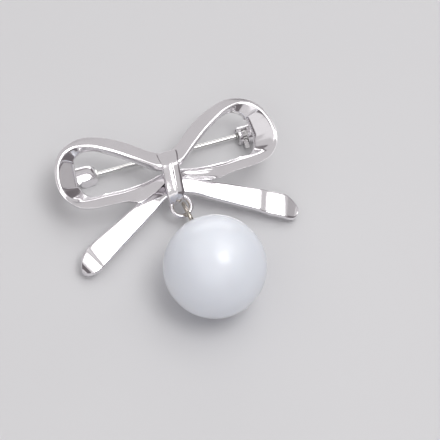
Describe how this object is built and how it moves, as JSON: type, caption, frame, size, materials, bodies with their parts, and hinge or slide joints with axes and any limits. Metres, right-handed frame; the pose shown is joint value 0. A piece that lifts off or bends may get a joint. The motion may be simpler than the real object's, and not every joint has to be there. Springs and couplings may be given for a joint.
{
  "type": "bow brooch",
  "caption": "Polished metal ribbon bow brooch lying on its back, with a large round pearl drop on a ring and a hinged pin with a turning catch behind.",
  "frame": {"origin": "middle of the bounding box in plan, on the surface the brooch lies on", "axes": "+X towards the bow's right loop seen from the front, +Y towards the top of the bow, +Z out of the front, up from the surface"},
  "size_m": [0.032, 0.031, 0.014],
  "materials": {
    "bow_metal": "mirror-polished silver-coloured plate",
    "pin_metal": "polished silver-coloured metal",
    "eye_metal": "polished, slightly warm silver-coloured metal",
    "pearl": "bluish white pearl lustre"
  },
  "bodies": {
    "brooch": {"bow": "bow_metal", "eye_pin": "eye_metal", "pearl": "pearl"},
    "pin": {"pin_stem": "pin_metal"},
    "catch": {"catch_rotor": "pin_metal"}
  },
  "joints": [
    {"name": "pin_hinge", "type": "hinge", "parent": "brooch", "child": "pin", "pos_m": [-0.0104, 0.0124, 0.00125], "axis": [0, 1, 0], "range_deg": [0, 75]},
    {"name": "catch_turn", "type": "hinge", "parent": "brooch", "child": "catch", "pos_m": [0.0132, 0.0124, 0.00125], "axis": [-1, 0, 0], "range_deg": [0, 100]}
  ]
}
